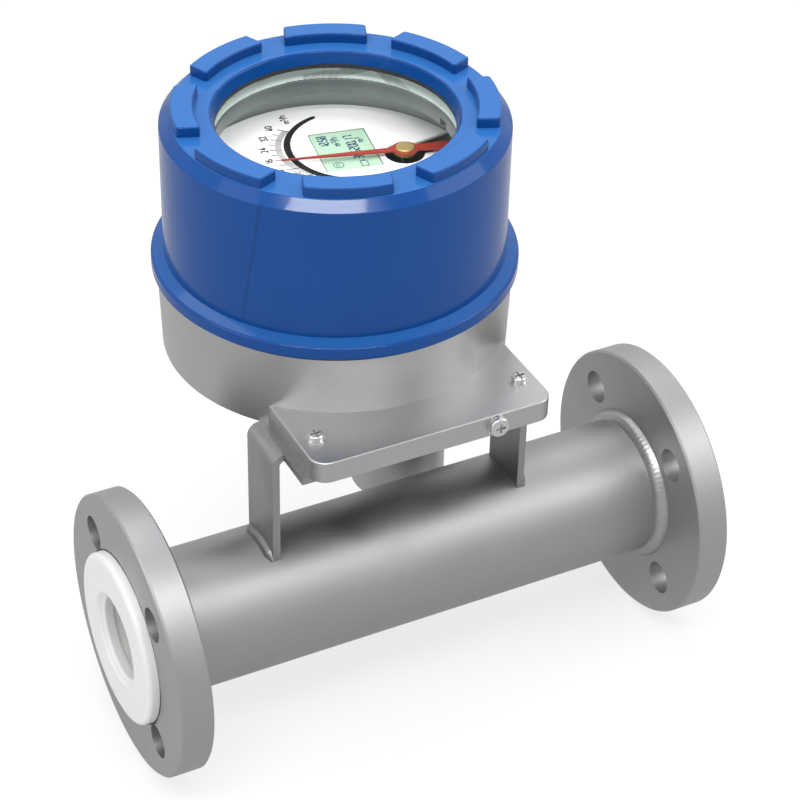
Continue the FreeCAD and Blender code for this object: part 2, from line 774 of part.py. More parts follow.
pair = (lug_screw_half, -lug_screw_half)
head_seat = seat + lug_washer_thick
nut_bottom = base_bottom - bracket_thick - lug_nut_height
body = at_lug("lug_screws")
sk = new_sketch(body, "heads", offset=head_seat)
for side in pair:
    circle(sk, lug_head_dia, side)
pad(body, sk, lug_head_height)
soften(body, lambda p, e: near(p.z, head_seat + lug_head_height), lug_head_height * 0.55, "head_round")
sk = new_sketch(body, "shanks", offset=nut_bottom - 1)
for side in pair:
    circle(sk, lug_screw_dia, side)
pad(body, sk, head_seat - nut_bottom + 1)
cross_slot(body, head_seat + lug_head_height, centres=pair)

body = at_lug("lug_nuts")
sk = new_sketch(body, "hexes", offset=nut_bottom)
for side in pair:
    hexagon(sk, lug_nut_flats, side)
    circle(sk, lug_screw_dia, side)
pad(body, sk, lug_nut_height)


# Earth screw and washer on the front of the lug
def at_earth(label):
    return new_body(label, x=head_x + earth_screw_dx, y=head_y - lug_reach, z=base_bottom + lug_thick / 2)


body = at_earth("earth_washer")
sk = new_sketch(body, "ring", "XZ_Plane")
circle(sk, earth_washer_dia)
circle(sk, earth_screw_dia)
pad(body, sk, earth_washer_thick)

body = at_earth("earth_screw")
sk = new_sketch(body, "head", "XZ_Plane", offset=earth_washer_thick)
circle(sk, earth_head_dia)
pad(body, sk, earth_head_height)
soften(body, lambda p, e: near(p.y, -(earth_washer_thick + earth_head_height)), earth_head_height * 0.5, "head_round")
sk = new_sketch(body, "shank", "XZ_Plane", offset=earth_washer_thick)
circle(sk, earth_screw_dia)
pad(body, sk, earth_screw_depth + earth_washer_thick - 1, reverse=True)
cross_slot(body, earth_washer_thick + earth_head_height, "XZ_Plane")

# Cover: rim, wall, window ledge and eight wrench lugs
rim_bottom = base_top + seat_gap
cover = new_body("cover", x=head_x, y=head_y)
sk = new_sketch(cover, "section", "XZ_Plane")
thread_bore = neck_dia / 2 + thread_clearance
ledge = cover_top - window_ledge
ring_floor = ledge - gasket_thick - glass_thick - ring_thick
outline(sk, [
    (thread_bore, rim_bottom), (rim_od / 2, rim_bottom), (rim_od / 2, rim_bottom + rim_edge),
    (cover_od / 2, rim_bottom + rim_height), (cover_od / 2, cover_top - cover_shoulder),
    (cover_od / 2 - cover_shoulder, cover_top), (window_dia / 2, cover_top), (window_throat / 2, ledge),
    (glass_dia / 2, ledge), (glass_dia / 2, ring_floor), (cover_bore / 2, ring_floor),
    (cover_bore / 2, thread_relief_top), (thread_bore, thread_relief_top)])
spin(cover, sk, "V_Axis")
sk = new_sketch(cover, "seal_groove", "XZ_Plane")
seal_top = base_top + seal_lift + seal_section
rectangle(sk, seal_ring_dia / 2 - seal_section / 2, rim_bottom - 1, seal_ring_dia / 2 + seal_section / 2, seal_top)
groove(cover, sk, "V_Axis")
soften(cover, lambda p, e: near(p.z, cover_top) and near(math.hypot(p.x, p.y), cover_od / 2 - cover_shoulder) or
       near(p.z, cover_top - cover_shoulder) and near(math.hypot(p.x, p.y), cover_od / 2), 0.8, "shoulder_edges")
soften(cover, lambda p, e: near(p.z, cover_top) and near(math.hypot(p.x, p.y), window_dia / 2), 1.2, "window_edge")
sk = new_sketch(cover, "lug", offset=cover_top - 1, turn=cover_lug_phase)
sector(sk, cover_lug_inner, cover_lug_outer, cover_lug_width)
lug = pad(cover, sk, cover_lug_height + 1)
around(cover, [lug], "Z_Axis", cover_lug_count)
soften(cover, lambda p, e: near(p.z, rim_bottom + rim_edge) and near(math.hypot(p.x, p.y), rim_od / 2),
       1.4, "rim_edge")
soften(cover, lambda p, e: near(p.z, cover_top + cover_lug_height / 2) and near(e.Length, cover_lug_height),
       1.2, "lug_corners")
soften(cover, lambda p, e: near(p.z, cover_top + cover_lug_height), 0.8, "lug_edges")

# Window glass, its gasket and the ring that holds it from inside
ring_body("window_gasket", gasket_inner, glass_dia, ledge - gasket_thick, gasket_thick, head_x, head_y)
ring_body("window_glass", None, glass_dia, ledge - gasket_thick - glass_thick, glass_thick, head_x, head_y)
body = ring_body("retaining_ring", ring_inner, glass_dia, ring_floor, ring_thick, head_x, head_y)
soften(body, lambda p, e: near(math.hypot(p.x, p.y), ring_inner / 2) and
       (near(p.z, ring_floor) or near(p.z, ring_floor + ring_thick)), ring_edge, "inner_edges")
sk = new_sketch(body, "notches", offset=ring_floor)
notch = ring_notch / 2
for side in (1, -1):
    rectangle(sk, ring_inner / 2 * side - notch, -notch, ring_inner / 2 * side + notch, notch)
cut(body, sk, ring_thick / 2, reverse=True)

# Seal ring carried in the underside of the cover
body = new_body("cover_seal", x=head_x, y=head_y)
sk = new_sketch(body, "cord", "XZ_Plane")
circle(sk, seal_section, seal_ring_dia / 2, seal_top - seal_section / 2)
spin(body, sk, "V_Axis")


# Cable gland: body, seal and clamping nut, all on one axis out of the back
def at_entry(label):
    return new_body(label, x=head_x, y=head_y, z=entry_z)


hex_end = entry_face + gland_hex_length
barrel_end = hex_end + gland_barrel_length
body = at_entry("gland_body")
sk = new_sketch(body, "hex", "XZ_Plane", offset=-hex_end)
hexagon(sk, gland_flats)
pad(body, sk, gland_hex_length)
sk = new_sketch(body, "shank", "XZ_Plane", offset=-entry_face)
circle(sk, entry_dia)
pad(body, sk, entry_face - gland_shank_start)
sk = new_sketch(body, "barrel", "XZ_Plane", offset=-barrel_end)
circle(sk, gland_barrel_dia)
pad(body, sk, gland_barrel_length)
sk = new_sketch(body, "bore", "XZ_Plane", offset=-barrel_end)
circle(sk, gland_inner_dia)
cut(body, sk, barrel_end, reverse=True)

body = at_entry("gland_seal")
sk = new_sketch(body, "ring", "XZ_Plane", offset=-barrel_end)
circle(sk, gland_inner_dia)
circle(sk, gland_seal_inner)
pad(body, sk, gland_barrel_length)

nut_start = hex_end + gland_nut_gap
nut_end = nut_start + gland_nut_length
body = at_entry("gland_nut")
sk = new_sketch(body, "hex", "XZ_Plane", offset=-nut_end)
hexagon(sk, gland_flats)
pad(body, sk, gland_nut_length)
sk = new_sketch(body, "crown", "YZ_Plane")
crown_start = nut_end - gland_nut_length * 0.35
outline(sk, [(crown_start, gland_flats * 0.5), (nut_end + 1, gland_mouth_dia / 2 + 1), (nut_end + 1, gland_flats),
             (crown_start, gland_flats)])
groove(body, sk, "H_Axis")
sk = new_sketch(body, "cavity", "YZ_Plane")
outline(sk, [(nut_start - 1, zero), (nut_start - 1, gland_barrel_dia / 2), (barrel_end, gland_barrel_dia / 2),
             (barrel_end, gland_mouth_dia / 2), (nut_end + 1, gland_mouth_dia / 2), (nut_end + 1, zero)])
groove(body, sk, "H_Axis")


# Movement deck on three posts, with three more posts up to the dial
def posts(label, start, length, dia, places):
    body = new_body(label, x=head_x, y=head_y)
    sk = new_sketch(body, "round", offset=start)
    for x, y in places:
        circle(sk, dia, x, y)
    pad(body, sk, length)


ring_places = [(turned(post_radius, post_angle + step, "cos"), turned(post_radius, post_angle + step, "sin"))
               for step in (0, 120, 240)]
floor_top = base_bottom + base_floor
deck_top = deck_bottom + deck_thick
dial_bottom = dial_top - dial_thick
posts("deck_posts", floor_top, deck_bottom - floor_top, post_dia, ring_places)
posts("dial_posts", deck_top, dial_bottom - deck_top, post_dia, ring_places)

body = new_body("movement_deck", x=head_x, y=head_y)
sk = new_sketch(body, "disc", offset=deck_bottom)
circle(sk, deck_dia)
circle(sk, upper_bearing_dia, pivot_dx, pivot_dy)
pad(body, sk, deck_thick)

# Circuit board on four posts, display and terminal block
posts("board_posts", deck_top, board_bottom - deck_top, board_post_dia,
      [(-board_post_left, -board_post_front), (board_post_right, -board_post_front),
       (-board_post_left, board_post_back), (board_post_right, board_post_back)])

body = new_body("circuit_board", x=head_x, y=head_y)
sk = new_sketch(body, "plate", offset=board_bottom)
rectangle(sk, -board_left, -board_front, board_right, board_back)
pad(body, sk, board_thick)
soften(body, lambda p, e: near(e.Length, board_thick), 2.0, "corners")

board_top = board_bottom + board_thick
body = new_body("display_module", x=head_x + display_x, y=head_y + display_y, turn=dial_angle)
sk = new_sketch(body, "case", offset=board_top)
wide = display_width / 2 + display_frame
tall = display_height / 2 + display_frame
rectangle(sk, -wide, -tall, wide, tall)
pad(body, sk, dial_bottom - board_top)
sk = new_sketch(body, "screen", offset=dial_bottom)
wide = display_width / 2 - display_gap
tall = display_height / 2 - display_gap
rectangle(sk, -wide, -tall, wide, tall)
pad(body, sk, dial_thick - display_sink)

body = new_body("terminal_block", x=head_x + block_x, y=head_y + block_y)
sk = new_sketch(body, "block", offset=floor_top)
rectangle(sk, -(block_length / 2), -(block_depth / 2), block_length / 2, block_depth / 2)
pad(body, sk, block_height)
pitch = block_length / 5
sk = new_sketch(body, "wells", offset=floor_top + block_height)
for step in (-2, -1, 0, 1, 2):
    circle(sk, pitch * 0.7, pitch * step, block_depth * 0.2)
cut(body, sk, block_height * 0.4)

# Dial with a window for the display and a keyhole for the pointer arbor
dial = new_body("dial", x=head_x, y=head_y)
sk = new_sketch(dial, "disc", offset=dial_bottom)
circle(sk, dial_dia)
pad(dial, sk, dial_thick)
sk = new_sketch(dial, "window", offset=dial_bottom)
wide = display_width / 2
tall = display_height / 2
corners = []
for a, b in ((-wide, -tall), (wide, -tall), (wide, tall), (-wide, tall)):
    corners.append((display_x + turned(a, dial_angle, "cos") - turned(b, dial_angle, "sin"),
                    display_y + turned(a, dial_angle, "sin") + turned(b, dial_angle, "cos")))
outline(sk, corners)
cut(dial, sk, dial_thick, reverse=True)
sk = new_sketch(dial, "key_hole", offset=dial_bottom)
circle(sk, key_hole_dia, pivot_dx, pivot_dy)
cut(dial, sk, dial_thick, reverse=True)
sk = new_sketch(dial, "key_slot", offset=dial_bottom)
side_x = turned(key_slot_width / 2, key_slot_angle, "sin")
side_y = turned(key_slot_width / 2, key_slot_angle, "cos")
far_x = pivot_dx + turned(dial_dia / 2, key_slot_angle, "cos")
far_y = pivot_dy + turned(dial_dia / 2, key_slot_angle, "sin")
outline(sk, [(pivot_dx + side_x, pivot_dy - side_y), (far_x + side_x, far_y - side_y),
             (far_x - side_x, far_y + side_y), (pivot_dx - side_x, pivot_dy + side_y)])
cut(dial, sk, dial_thick, reverse=True)

# Pointer train about the pivot: bearings, arbor, follower magnet, carrier, hub, pointer
pivot_x = head_x + pivot_dx
pivot_y = head_y + pivot_dy
well_floor = boss_bottom + boss_floor
bearing_bottom = well_floor - lower_bearing_seat
loose = arbor_dia + bearing_clearance * 2

body = new_body("lower_bearing", x=pivot_x, y=pivot_y)
sk = new_sketch(body, "bush", "XZ_Plane")
outline(sk, [(zero, bearing_bottom), (lower_bearing_dia / 2, bearing_bottom),
             (lower_bearing_dia / 2, bearing_bottom + lower_bearing_height),
             (loose / 2, bearing_bottom + lower_bearing_height), (loose / 2, bearing_bottom + lower_bearing_base),
             (zero, bearing_bottom + lower_bearing_base)])
spin(body, sk, "V_Axis")

body = new_body("upper_bearing", x=pivot_x, y=pivot_y)
sk = new_sketch(body, "bush", "XZ_Plane")
flange_top = deck_top + upper_bearing_flange_thick
outline(sk, [(loose / 2, deck_bottom), (upper_bearing_dia / 2, deck_bottom), (upper_bearing_dia / 2, deck_top),
             (upper_bearing_flange / 2, deck_top), (upper_bearing_flange / 2, flange_top), (loose / 2, flange_top)])
spin(body, sk, "V_Axis")

arbor_bottom = bearing_bottom + lower_bearing_base + bearing_clearance
ring_body("arbor", None, arbor_dia, arbor_bottom, hub_top - hub_cap - arbor_bottom, pivot_x, pivot_y)
ring_body("follower_magnet", arbor_dia, magnet_dia, -(magnet_height / 2), magnet_height, pivot_x, pivot_y)

body = new_body("magnet_carrier", x=pivot_x, y=pivot_y)
sk = new_sketch(body, "section", "XZ_Plane")
disc_bottom = magnet_height / 2
disc_top = disc_bottom + carrier_disc_thick
outline(sk, [(arbor_dia / 2, disc_bottom), (magnet_dia / 2, disc_bottom), (magnet_dia / 2, disc_top),
             (carrier_hub_dia / 2, disc_top), (carrier_hub_dia / 2, disc_top + carrier_hub_height),
             (arbor_dia / 2, disc_top + carrier_hub_height)])
spin(body, sk, "V_Axis")

body = new_body("pointer_hub", x=pivot_x, y=pivot_y)
sk = new_sketch(body, "section", "XZ_Plane")
outline(sk, [(arbor_dia / 2, hub_bottom), (hub_flange_dia / 2, hub_bottom), (hub_flange_dia / 2, pointer_bottom),
             (hub_dia / 2, pointer_bottom), (hub_dia / 2, hub_top - 0.4), (hub_dia / 2 - 0.4, hub_top),
             (zero, hub_top), (zero, hub_top - hub_cap), (arbor_dia / 2, hub_top - hub_cap)])
spin(body, sk, "V_Axis")

body = new_body("pointer", x=pivot_x, y=pivot_y, turn=pointer_angle)
sk = new_sketch(body, "needle", offset=pointer_bottom)
outline(sk, [(pointer_reach, -(pointer_tip_width / 2)), (pointer_reach, pointer_tip_width / 2),
             (zero, pointer_root_width / 2), (-pointer_tail, pointer_tail_width / 2),
             (-pointer_tail, -(pointer_tail_width / 2)), (zero, -(pointer_root_width / 2))])
pad(body, sk, pointer_thick)
sk = new_sketch(body, "disc", offset=pointer_bottom)
circle(sk, pointer_disc_dia)
pad(body, sk, pointer_thick)
sk = new_sketch(body, "hole", offset=pointer_bottom)
circle(sk, hub_dia)
cut(body, sk, pointer_thick, reverse=True)

doc.recompute()

# Check every object, then write each body to its own file
for item in doc.Objects:
    if "Invalid" in item.State or "Error" in item.State:
        raise RuntimeError("failed feature: " + item.Name)
for body in made:
    shape = body.Shape
    if shape.isNull() or not shape.isValid() or not shape.Solids:
        raise RuntimeError("bad shape: " + body.Label)
    shape.exportStep("parts/" + body.Label + ".step")
print("parts written:", len(made))
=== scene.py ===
import bpy
import bmesh
import math
from mathutils import Matrix, Vector


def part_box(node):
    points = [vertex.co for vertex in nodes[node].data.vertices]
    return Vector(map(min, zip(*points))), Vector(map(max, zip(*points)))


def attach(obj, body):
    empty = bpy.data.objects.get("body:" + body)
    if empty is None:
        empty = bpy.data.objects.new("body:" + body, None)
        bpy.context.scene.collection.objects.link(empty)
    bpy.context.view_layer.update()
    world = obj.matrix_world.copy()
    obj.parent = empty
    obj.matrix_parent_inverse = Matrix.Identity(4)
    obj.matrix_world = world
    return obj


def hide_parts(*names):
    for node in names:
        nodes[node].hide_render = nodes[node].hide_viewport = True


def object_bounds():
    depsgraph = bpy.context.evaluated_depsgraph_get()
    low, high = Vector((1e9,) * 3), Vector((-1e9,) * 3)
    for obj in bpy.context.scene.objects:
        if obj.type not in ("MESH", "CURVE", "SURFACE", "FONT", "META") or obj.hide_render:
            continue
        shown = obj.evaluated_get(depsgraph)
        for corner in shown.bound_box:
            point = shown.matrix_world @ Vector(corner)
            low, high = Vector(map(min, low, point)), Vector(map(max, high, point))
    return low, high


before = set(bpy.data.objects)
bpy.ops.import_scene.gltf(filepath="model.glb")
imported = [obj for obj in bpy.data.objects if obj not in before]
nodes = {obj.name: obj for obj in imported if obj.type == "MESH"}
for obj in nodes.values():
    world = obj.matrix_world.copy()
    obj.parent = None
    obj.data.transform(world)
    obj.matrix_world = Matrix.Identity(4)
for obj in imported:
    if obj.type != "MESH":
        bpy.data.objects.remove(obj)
cad_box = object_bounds()


def middle(name):
    """The centre of a node's box seen from above, as a point at z = 0."""
    low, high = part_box(name)
    return Vector(((low[0] + high[0]) / 2, (low[1] + high[1]) / 2, 0.0))


# Lengths are in metres, and those multiplied by MM are written in millimetres
MM = 0.001

# Places read from the CAD
HEAD = middle("retaining_ring")                   # axis of the cover, window and housing
PIVOT = middle("pointer_hub")                     # axis of the pointer
HEAD_AT, PIVOT_AT = tuple(HEAD), tuple(PIVOT)
SEAL_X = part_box("lining")[0][0]                   # outlet end of the lining's lip
LIP_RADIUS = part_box("lining")[1][2]
FLANGE_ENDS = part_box("outlet_flange")[0][0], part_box("inlet_flange")[1][0]
TUBE_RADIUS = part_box("measuring_tube")[1][2]
DIAL_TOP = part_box("dial")[1][2]
SCREEN_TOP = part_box("display_module")[1][2]
GLASS_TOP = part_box("window_glass")[1][2]
COVER_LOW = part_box("cover")[0][2]

# The cover is grey inside this radius, up to this height
COVER_INSIDE = 0.0609
ENAMEL_EDGE = GLASS_TOP + 0.0019
# Its parting line crosses the middle height at this angle, and shows outside the radius only
SEAM_ANGLE = math.radians(217.2 - 360)
SEAM_MID, SEAM_LEAN, SEAM_FOOT, SEAM_RADIUS = 0.150, 2.3, 0.1215, 0.0665
# The thread on the neck, and the painted shadow line between the base and the closed cover
THREAD_PITCH = 0.002
THREAD_LOW, THREAD_HIGH, THREAD_RADIUS = 0.1126, 0.1296, 0.0630
SHADOW_LINE_LOW, SHADOW_LINE_HIGH = COVER_LOW - 0.0019, COVER_LOW - 0.0010

# What the pointer and the display show at rest, and the scale that the pointer runs over
READING = 12.58
READING_ANGLE = 165.5
DEGREES_A_UNIT = 1.09
FULL_SCALE = 40


def neutral(value):
    return (value, value, value)


def darker(color, share):
    return tuple(c * share for c in color)


# Painted shade for faces that look down
UNDERSIDE_SHADE = neutral(0.10)


def material(name, color, rough, metal=0.0):
    """A new principled material, with its node tree and its shader."""
    mat = bpy.data.materials.new(name)
    mat.use_nodes = True
    tree = mat.node_tree
    shader = tree.nodes["Principled BSDF"]
    shader.inputs["Base Color"].default_value = (*color, 1)
    shader.inputs["Roughness"].default_value = rough
    shader.inputs["Metallic"].default_value = metal
    return mat, tree, shader


def node(tree, kind, inputs=None, **props):
    """A new node, its inputs linked to sockets or set to plain values."""
    made = tree.nodes.new(kind)
    for key, value in props.items():
        setattr(made, key, value)
    for key, value in (inputs or {}).items():
        if isinstance(value, bpy.types.NodeSocket):
            tree.links.new(value, made.inputs[key])
        else:
            made.inputs[key].default_value = value
    return made


def feed(tree, shader, socket, value):
    tree.links.new(value, shader.inputs[socket])


def math_node(tree, op, a, b=0.0, clamp=False):
    return node(tree, "ShaderNodeMath", {0: a, 1: b}, operation=op, use_clamp=clamp).outputs[0]


def plus(tree, a, b, clamp=False):
    return math_node(tree, "ADD", a, b, clamp)


def minus(tree, a, b):
    return math_node(tree, "SUBTRACT", a, b)


def times(tree, *values):
    """The product of several values. Of masks, it is the part where all of them are one."""
    total = values[0]
    for value in values[1:]:
        total = math_node(tree, "MULTIPLY", total, value)
    return total


def above(tree, a, b):
    return math_node(tree, "GREATER_THAN", a, b)


def below(tree, a, b):
    return math_node(tree, "LESS_THAN", a, b)


def larger(tree, a, b):
    return math_node(tree, "MAXIMUM", a, b)


def without_sign(tree, a):
    return math_node(tree, "ABSOLUTE", a)


def place(tree, scale=(1, 1, 1), shift=(0, 0, 0)):
    """Object coordinates, shifted and then scaled."""
    coord = node(tree, "ShaderNodeTexCoord").outputs["Object"]
    kind = "ShaderNodeVectorMath"
    moved = node(tree, kind, {0: coord, 1: shift}, operation="SUBTRACT").outputs[0]
    return node(tree, kind, {0: moved, 1: scale}, operation="MULTIPLY").outputs[0]


def xyz(tree, vector):
    """The outputs X, Y and Z of a vector."""
    return node(tree, "ShaderNodeSeparateXYZ", {0: vector}).outputs


def normal_xyz(tree):
    return xyz(tree, node(tree, "ShaderNodeNewGeometry").outputs["Normal"])


def noise(tree, vector, scale, detail=3.0, rough=0.5):
    inputs = {"Vector": vector, "Scale": scale, "Detail": detail, "Roughness": rough}
    return node(tree, "ShaderNodeTexNoise", inputs).outputs["Fac"]


def remap(tree, value, low, high, from_low=0.3, from_high=0.7):
    """A value brought to a new range and kept in it, by default from a noise's usual range."""
    inputs = {"Value": value, "From Min": from_low, "From Max": from_high,
              "To Min": low, "To Max": high}
    return node(tree, "ShaderNodeMapRange", inputs).outputs["Result"]


def blend_color(tree, fac, a, b):
    """Colour a where the factor is 0, and b where it is 1."""
    mix = node(tree, "ShaderNodeMix", data_type="RGBA")
    for index, value in ((0, fac), (6, a), (7, b)):
        if isinstance(value, bpy.types.NodeSocket):
            tree.links.new(value, mix.inputs[index])
        else:
            mix.inputs[index].default_value = value if index == 0 else (*value, 1)
    return mix.outputs[2]


def bump(tree, shader, height, strength, distance):
    inputs = {"Height": height, "Strength": strength, "Distance": distance}
    feed(tree, shader, "Normal", node(tree, "ShaderNodeBump", inputs).outputs["Normal"])


def ring_radius(tree, axis, centre=(0, 0, 0)):
    """Distance from a line through the centre along one axis."""
    flat = [1, 1, 1]
    flat["xyz".index(axis)] = 0
    across = place(tree, tuple(flat), centre)
    return node(tree, "ShaderNodeVectorMath", {0: across}, operation="LENGTH").outputs["Value"]


def rings(tree, radius, pitch):
    """Fine, uneven turning lines about an axis."""
    inputs = {"W": times(tree, radius, pitch), "Scale": 1.0, "Detail": 3.0}
    return node(tree, "ShaderNodeTexNoise", inputs, noise_dimensions="1D").outputs["Fac"]


def grained(tree, grain, color, share):
    """A colour that darkens by a share along its grain."""
    fac = remap(tree, grain, 0.0, 1.0, 0.35, 0.65)
    return blend_color(tree, fac, color, darker(color, share))


def facing_down(tree):
    """One on faces that look down, which are painted in shade."""
    return remap(tree, normal_xyz(tree)["Z"], 1.0, 0.0, -0.95, -0.75)


def steel(name, color, rough, stretch, strength, shade_below=False, vary=0.90):
    """Satin steel, its grain stretched along the small components of stretch."""
    mat, tree, shader = material(name, color, rough, 1.0)
    fine = noise(tree, place(tree, stretch), 1.0, 4.0, 0.6)
    cloud = noise(tree, place(tree), 28.0)
    feed(tree, shader, "Roughness", remap(tree, cloud, rough * 0.86, rough * 1.18))
    skin = grained(tree, fine, color, vary)
    # Faces that look down are painted in shade
    if shade_below:
        skin = blend_color(tree, facing_down(tree), skin, UNDERSIDE_SHADE)
    feed(tree, shader, "Base Color", skin)
    bump(tree, shader, fine, strength, 0.00006)
    return mat


def flange_steel():
    """Blasted faces, smoother turned rims, and a painted contact shadow round the lining's lip."""
    mat, tree, shader = material("flange", neutral(0.40), 0.40, 1.0)
    face = remap(tree, without_sign(tree, normal_xyz(tree)["X"]), 0.0, 1.0, 0.80, 0.95)
    grain = noise(tree, place(tree), 1500.0, 2.0)
    lines = noise(tree, place(tree, (2400, 90, 90)), 1.0)
    rim = blend_color(tree, remap(tree, lines, 0.0, 1.0), neutral(0.43), neutral(0.41))
    blast = blend_color(tree, remap(tree, grain, 0.0, 1.0), neutral(0.45), neutral(0.42))
    skin = blend_color(tree, face, rim, blast)
    # The painted shadow line is uneven, and only on the two outer faces
    ragged = remap(tree, noise(tree, place(tree), 160.0, 2.0), 0.0003, 0.0012)
    first, last = FLANGE_ENDS
    along = xyz(tree, place(tree, shift=((first + last) / 2, 0, 0)))["X"]
    outer = above(tree, without_sign(tree, along), abs(last - first) / 2 - MM)
    by_lip = below(tree, ring_radius(tree, "x"), plus(tree, ragged, LIP_RADIUS))
    lip_shadow = times(tree, face, outer, by_lip)
    feed(tree, shader, "Base Color", blend_color(tree, lip_shadow, skin, neutral(0.012)))
    feed(tree, shader, "Roughness", remap(tree, noise(tree, place(tree), 30.0), 0.42, 0.52))
    bump(tree, shader, blend_color(tree, face, lines, grain), 0.06, 0.00006)
    return mat


def turned(name, color, rough, axis="x", centre=(0, 0, 0), metal=1.0, strength=0.35, pitch=2600.0):
    """Turned metal or plastic with fine rings about an axis."""
    mat, tree, shader = material(name, color, rough, metal)
    lines = rings(tree, ring_radius(tree, axis, centre), pitch)
    cloud = noise(tree, place(tree), 30.0)
    feed(tree, shader, "Roughness", remap(tree, cloud, rough * 0.85, rough * 1.2))
    feed(tree, shader, "Base Color", grained(tree, lines, color, 0.92))
    bump(tree, shader, lines, strength, 0.00005)
    return mat


def plastic(name, color, rough, grain=900.0, strength=0.08, vary=0.93):
    """Moulded plastic, rubber or ink, slightly clouded and with a fine grain."""
    mat, tree, shader = material(name, color, rough)
    fine = noise(tree, place(tree), grain, 2.0)
    cloud = noise(tree, place(tree), 40.0)
    skin = blend_color(tree, remap(tree, cloud, 0.0, 1.0), color, darker(color, vary))
    feed(tree, shader, "Base Color", skin)
    feed(tree, shader, "Roughness", remap(tree, fine, rough * 0.9, rough * 1.12))
    bump(tree, shader, fine, strength, 0.0001)
    return mat


def blue_enamel():
    """Glossy blue outside and grey inside the cover, parted by radius and height."""
    blue = (0.003, 0.052, 0.225)
    mat, tree, shader = material("blue_enamel", blue, 0.20)
    radius = ring_radius(tree, "z", HEAD_AT)
    spot = xyz(tree, place(tree, shift=HEAD_AT))
    height = spot["Z"]
    inside = times(tree, below(tree, radius, COVER_INSIDE), below(tree, height, ENAMEL_EDGE))
    cloud = noise(tree, place(tree), 22.0, 4.0)
    coat = blend_color(tree, remap(tree, cloud, 0.0, 1.0), blue, darker(blue, 0.92))
    # Upper faces are painted paler and bluer: a painted sheen of the light from above
    top_sheen = remap(tree, normal_xyz(tree)["Z"], 0.0, 1.0, 0.86, 0.99)
    coat = blend_color(tree, top_sheen, coat, (0.020, 0.112, 0.350))
    # The mould's parting line, filled and painted over, on the left of the front
    angle = math_node(tree, "ARCTAN2", spot["Y"], spot["X"])
    lean = times(tree, minus(tree, height, SEAM_MID), SEAM_LEAN)
    wander = times(tree, noise(tree, place(tree, (0, 0, 1)), 260.0), 0.010)
    off = minus(tree, minus(tree, angle, SEAM_ANGLE), plus(tree, lean, wander))
    near_line = remap(tree, without_sign(tree, off), 1.0, 0.0, 0.003, 0.015)
    patchy = remap(tree, noise(tree, place(tree, (1, 1, 3)), 90.0), 0.25, 1.0)
    seam = times(tree, near_line, patchy,
                 above(tree, radius, SEAM_RADIUS), above(tree, height, SEAM_FOOT))
    seam = times(tree, seam, 0.5)
    coat = blend_color(tree, seam, coat, darker(blue, 0.35))
    feed(tree, shader, "Base Color", blend_color(tree, inside, coat, (0.36, 0.40, 0.39)))
    peel = noise(tree, place(tree), 420.0, 2.0)
    feed(tree, shader, "Roughness", remap(tree, peel, 0.15, 0.23))
    bump(tree, shader, minus(tree, peel, seam), 0.10, 0.00025)
    shader.inputs["IOR"].default_value = 1.20
    shader.inputs["Coat Weight"].default_value = 0.28
    shader.inputs["Coat Roughness"].default_value = 0.05
    return mat


def window():
    """Clear glass: a thin reflecting film with a faint haze, and its ground edge."""
    clear = (0.03, 0.045, 0.04)
    mat, tree, shader = material("window_glass", clear, 0.03)
    low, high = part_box("window_glass")
    edge = above(tree, ring_radius(tree, "z", HEAD_AT), (high[0] - low[0]) / 2 - 0.0015)
    haze = noise(tree, place(tree, (1, 1, 4)), 60.0)
    rough = plus(tree, remap(tree, haze, 0.02, 0.06), times(tree, edge, 0.5))
    film = blend_color(tree, remap(tree, haze, 0.0, 1.0), clear, (0.05, 0.07, 0.06))
    feed(tree, shader, "Roughness", rough)
    feed(tree, shader, "Base Color", blend_color(tree, edge, film, (0.78, 0.89, 0.85)))
    feed(tree, shader, "Alpha", plus(tree, times(tree, edge, 0.92), 0.04))
    return mat


def ring_metal():
    """The retaining ring: pale on its upper faces and grey in its bore."""
    mat, tree, shader = material("ring_metal", (0.22, 0.24, 0.235), 0.36)
    up = remap(tree, normal_xyz(tree)["Z"], 0.0, 1.0, 0.86, 0.95)
    lines = rings(tree, ring_radius(tree, "z", HEAD_AT), 2400.0)
    streak = noise(tree, place(tree, (1, 1, 0.05)), 55.0)
    bore = blend_color(tree, remap(tree, streak, 0.0, 1.0),
                       (0.105, 0.125, 0.125), (0.155, 0.175, 0.175))
    pale = blend_color(tree, remap(tree, lines, 0.0, 1.0),
                       (0.62, 0.74, 0.70), (0.70, 0.80, 0.76))
    feed(tree, shader, "Base Color", blend_color(tree, up, bore, pale))
    # The upper faces glow faintly: painted light standing in for light led in through the edge of
    # the glass
    feed(tree, shader, "Emission Color", pale)
    feed(tree, shader, "Emission Strength", times(tree, up, 0.30))
    feed(tree, shader, "Roughness", remap(tree, streak, 0.30, 0.42))
    bump(tree, shader, lines, 0.25, 0.00005)
    return mat


